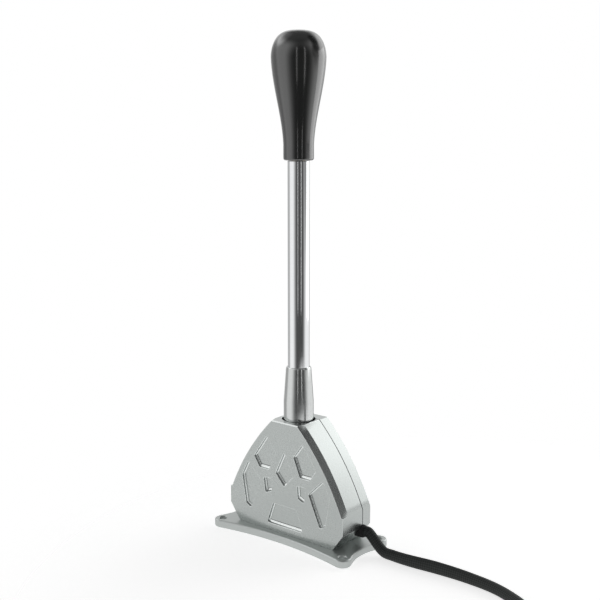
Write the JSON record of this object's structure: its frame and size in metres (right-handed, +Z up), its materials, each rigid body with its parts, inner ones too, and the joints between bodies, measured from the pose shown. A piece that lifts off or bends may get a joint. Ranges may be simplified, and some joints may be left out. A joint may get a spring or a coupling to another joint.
{
  "type": "sequential gear lever",
  "caption": "Sequential gear lever for a game simulator: tall round rod with a pear-shaped knob, rocking in a slim milled housing on a bolt-down base plate, with a lead.",
  "frame": {"origin": "centre of the base plate's underside, below the lever", "axes": "+Z up along the lever, X along the housing's length, the way the lever is pushed and pulled, -Y out of the pocketed front face"},
  "size_m": [0.4371, 0.0709, 0.3734],
  "materials": {
    "satin_aluminium": "satin, fine milled",
    "polished_steel": "polished",
    "machined_steel": "turned and milled",
    "dark_steel": "black oxide",
    "brass": "turned",
    "gloss_black": "gloss",
    "black_rubber": "matte",
    "black_braid": "woven braid",
    "board_green": "solder mask",
    "chip_black": "moulded",
    "connector_cream": "moulded"
  },
  "bodies": {
    "base": {"base_plate": "satin_aluminium", "main_body": "satin_aluminium", "rear_cover": "satin_aluminium", "pivot_bush_front": "brass", "pivot_bush_rear": "brass", "spring_left": "machined_steel", "spring_right": "machined_steel", "guide_bush_left": "brass", "guide_bush_right": "brass", "stop_bracket": "dark_steel", "bump_stop_left": "black_rubber", "bump_stop_right": "black_rubber", "stop_screw_left": "dark_steel", "stop_screw_right": "dark_steel", "sensor_board": "board_green", "hall_sensor_left": "chip_black", "hall_sensor_right": "chip_black", "controller_chip": "chip_black", "board_connector": "connector_cream", "board_screw_left": "dark_steel", "board_screw_right": "dark_steel", "inner_lead": "black_rubber", "cable_grommet": "black_rubber", "cover_screw_1": "dark_steel", "cover_screw_2": "dark_steel", "cover_screw_3": "dark_steel", "cover_screw_4": "dark_steel", "cover_screw_5": "dark_steel", "cover_screw_6": "dark_steel", "base_screw_1": "dark_steel", "base_screw_2": "dark_steel", "base_screw_3": "dark_steel", "base_screw_4": "dark_steel", "cord": "black_braid", "cord_coil": "black_braid", "coil_tie": "black_rubber", "plug_body": "chip_black", "plug_shell": "polished_steel"},
    "lever": {"lever_hub": "machined_steel", "pivot_axle": "machined_steel", "lever_sleeve": "polished_steel", "sleeve_grub_lower": "dark_steel", "sleeve_grub_upper": "dark_steel", "lever_rod": "polished_steel", "knob": "gloss_black", "knob_insert": "brass", "sensor_magnet": "machined_steel"},
    "left_plunger": {"plunger_left": "machined_steel"},
    "right_plunger": {"plunger_right": "machined_steel"}
  },
  "joints": [
    {"name": "lever_pivot", "type": "hinge", "parent": "base", "child": "lever", "pos_m": [0, 0, 0.0701], "axis": [0, 1, 0], "range_deg": [-3.5, 3.5], "stiffness_Nm_per_rad": 80},
    {"name": "left_plunger_slide", "type": "slide", "parent": "base", "child": "left_plunger", "axis": [1, 0, 0], "range_m": [-0.0023, 0.0023], "deforming": ["spring_left"]},
    {"name": "right_plunger_slide", "type": "slide", "parent": "base", "child": "right_plunger", "axis": [1, 0, 0], "range_m": [-0.0023, 0.0023], "deforming": ["spring_right"]}
  ],
  "couplings": [
    {"joint": "left_plunger_slide", "follows": "lever_pivot", "m_per_rad": -0.036},
    {"joint": "right_plunger_slide", "follows": "lever_pivot", "m_per_rad": -0.036}
  ]
}
